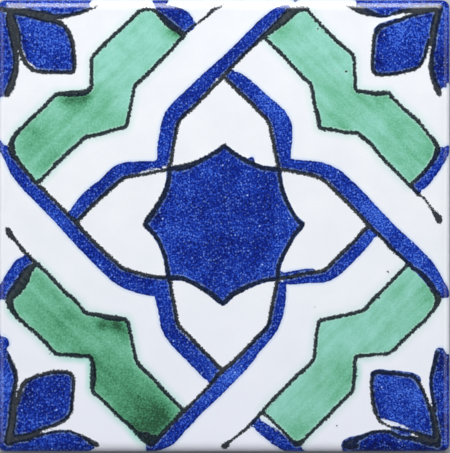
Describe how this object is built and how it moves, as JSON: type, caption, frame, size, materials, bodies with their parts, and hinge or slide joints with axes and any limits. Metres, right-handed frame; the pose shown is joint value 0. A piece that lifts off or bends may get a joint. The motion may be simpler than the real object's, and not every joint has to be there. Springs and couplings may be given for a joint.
{
  "type": "majolica wall tile",
  "caption": "Square glazed earthenware wall tile with a crowned face, rolled edges and a keyed back, painted with interlaced star strapwork.",
  "frame": {"origin": "middle of the keyed back, on the plane that the tile rests on", "axes": "+Z points out of the glazed face, +X to the right and +Y up in the picture as it is painted"},
  "size_m": [0.1, 0.1, 0.008],
  "materials": {
    "glazed_earthenware": "glossy tin glaze, hand painted in cobalt blue, copper green and black"
  },
  "bodies": {
    "root": {"tile": "glazed_earthenware"}
  },
  "joints": []
}
